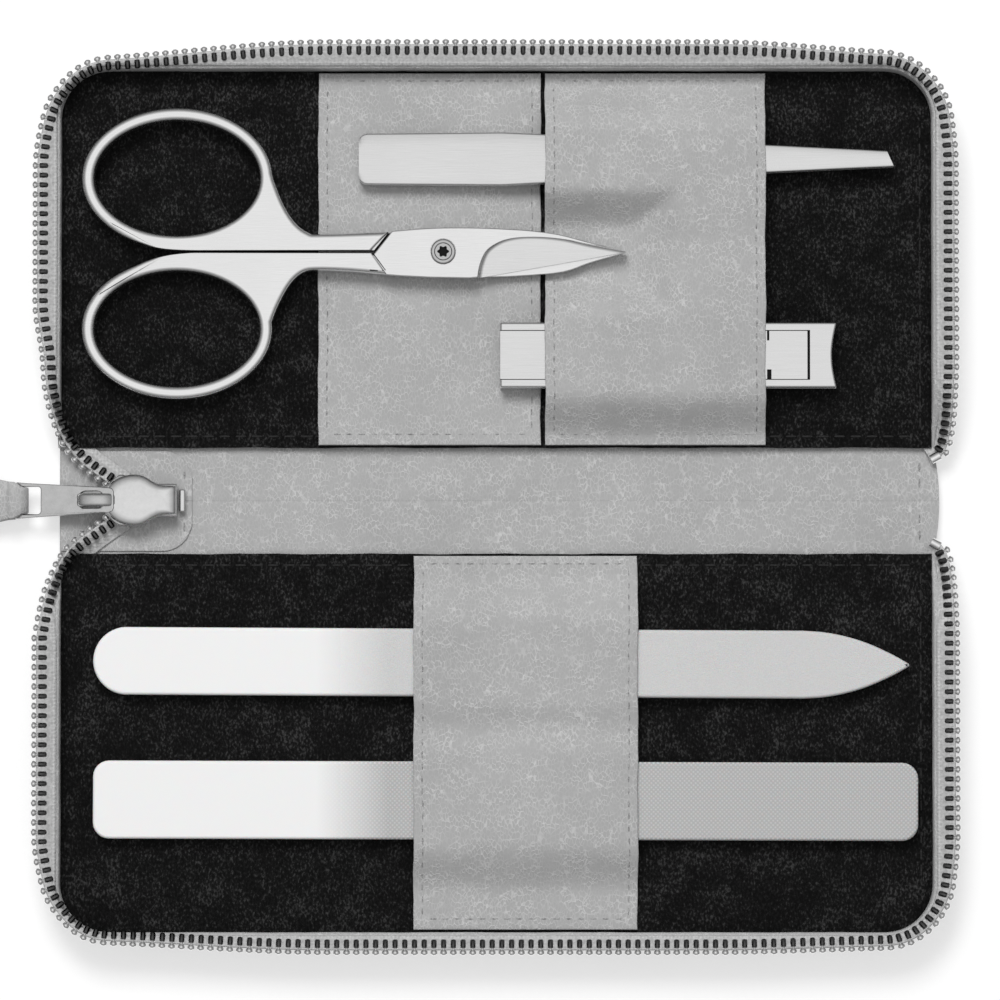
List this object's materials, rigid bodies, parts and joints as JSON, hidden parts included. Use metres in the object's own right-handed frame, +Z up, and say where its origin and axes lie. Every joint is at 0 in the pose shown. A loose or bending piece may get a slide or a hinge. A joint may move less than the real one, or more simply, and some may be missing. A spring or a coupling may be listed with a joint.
{
  "type": "manicure set case",
  "caption": "Zipped leather manicure case, open flat, with scissors, tweezers, a nail clipper and glass files held by straps.",
  "frame": {"origin": "middle of the spine, on the plane that the open case rests on", "axes": "+X along the spine away from the zip slider, +Y to the half with the steel tools, +Z up out of the open case"},
  "size_m": [0.1855, 0.1518, 0.0087],
  "materials": {
    "leather": "grained, pale grey, semi matt",
    "suede": "black suede microfibre",
    "board": "pressed stiffening board",
    "tape": "woven grey tape",
    "steel": "satin stainless steel",
    "zip_metal": "polished plated metal",
    "glass": "frosted white glass with an etched filing face"
  },
  "bodies": {
    "spine": {"spine_cover": "leather", "spine_lining": "leather", "zip_end_patch": "leather", "zip_bottom_stop": "zip_metal", "rear_zip_tail": "zip_metal", "front_zip_tail": "zip_metal"},
    "rear_half": {"rear_cover": "leather", "rear_board": "board", "rear_lining": "suede", "rear_flap": "leather", "rear_strap": "leather", "rear_side_wall": "leather", "rear_zip_tape": "tape", "rear_zip_teeth": "zip_metal", "rear_top_stop": "zip_metal"},
    "front_half": {"front_cover": "leather", "front_board": "board", "front_lining": "suede", "front_strap": "leather", "front_side_wall": "leather", "front_zip_tape": "tape", "front_zip_teeth": "zip_metal", "front_top_stop": "zip_metal"},
    "slider": {"slider_body": "zip_metal", "slider_cap": "zip_metal"},
    "puller": {"zip_puller": "zip_metal"},
    "tab": {"pull_tab": "leather"},
    "scissors": {"scissor_under_leaf": "steel", "pivot_screw": "steel"},
    "scissors_top": {"scissor_top_leaf": "steel"},
    "tweezers": {"tweezers_lower_arm": "steel"},
    "tweezers_upper": {"tweezers_upper_arm": "steel"},
    "clipper": {"clipper_base": "steel", "clipper_pin": "steel"},
    "clipper_jaw": {"clipper_frame": "steel", "clipper_lever": "steel"},
    "pointed_file": {"pointed_glass_file": "glass"},
    "square_file": {"square_glass_file": "glass"}
  },
  "joints": [
    {"name": "rear_fold", "type": "hinge", "parent": "spine", "child": "rear_half", "pos_m": [0, 0.008, 0.001], "axis": [-1, 0, 0], "range_deg": [-90, 0], "deforming": ["rear_zip_tail"]},
    {"name": "front_fold", "type": "hinge", "parent": "spine", "child": "front_half", "pos_m": [0, -0.008, 0.001], "axis": [1, 0, 0], "range_deg": [-90, 0], "deforming": ["front_zip_tail"]},
    {"name": "zip_slide", "type": "slide", "parent": "spine", "child": "slider", "axis": [-1, 0, 0], "range_m": [0, 0.009]},
    {"name": "puller_swing", "type": "hinge", "parent": "slider", "child": "puller", "pos_m": [-0.0642, 0, 0.006], "axis": [0, 1, 0], "range_deg": [0, 165]},
    {"name": "tab_swing", "type": "hinge", "parent": "puller", "child": "tab", "pos_m": [-0.08008, 0, 0.00306], "axis": [0, 1, 0], "range_deg": [-60, 15]},
    {"name": "scissors_lift", "type": "slide", "parent": "rear_half", "child": "scissors", "axis": [0, 0, 1], "range_m": [0, 0.04]},
    {"name": "scissors_open", "type": "hinge", "parent": "scissors", "child": "scissors_top", "pos_m": [-0.00888, 0.04133, 0.0044], "axis": [0, 0, 1], "range_deg": [0, 50]},
    {"name": "tweezers_slide", "type": "slide", "parent": "rear_half", "child": "tweezers", "axis": [-1, 0, 0], "range_m": [0, 0.012]},
    {"name": "tweezers_squeeze", "type": "hinge", "parent": "tweezers", "child": "tweezers_upper", "pos_m": [-0.014, 0.05685, 0.0053], "axis": [0, 1, 0], "range_deg": [0, 0.5], "stiffness_Nm_per_rad": 3, "springref_deg": -0.29},
    {"name": "clipper_slide", "type": "slide", "parent": "rear_half", "child": "clipper", "axis": [-1, 0, 0], "range_m": [0, 0.036]},
    {"name": "clipper_squeeze", "type": "hinge", "parent": "clipper", "child": "clipper_jaw", "pos_m": [0.00657, 0.0241, 0.0057], "axis": [0, 1, 0], "range_deg": [0, 0.7], "stiffness_Nm_per_rad": 6, "springref_deg": -0.29},
    {"name": "pointed_file_slide", "type": "slide", "parent": "front_half", "child": "pointed_file", "axis": [-1, 0, 0], "range_m": [0, 0.005]},
    {"name": "square_file_slide", "type": "slide", "parent": "front_half", "child": "square_file", "axis": [-1, 0, 0], "range_m": [0, 0.005]}
  ],
  "couplings": [
    {"joint": "scissors_open", "follows": "scissors_lift", "rad_per_m": 21.8}
  ]
}
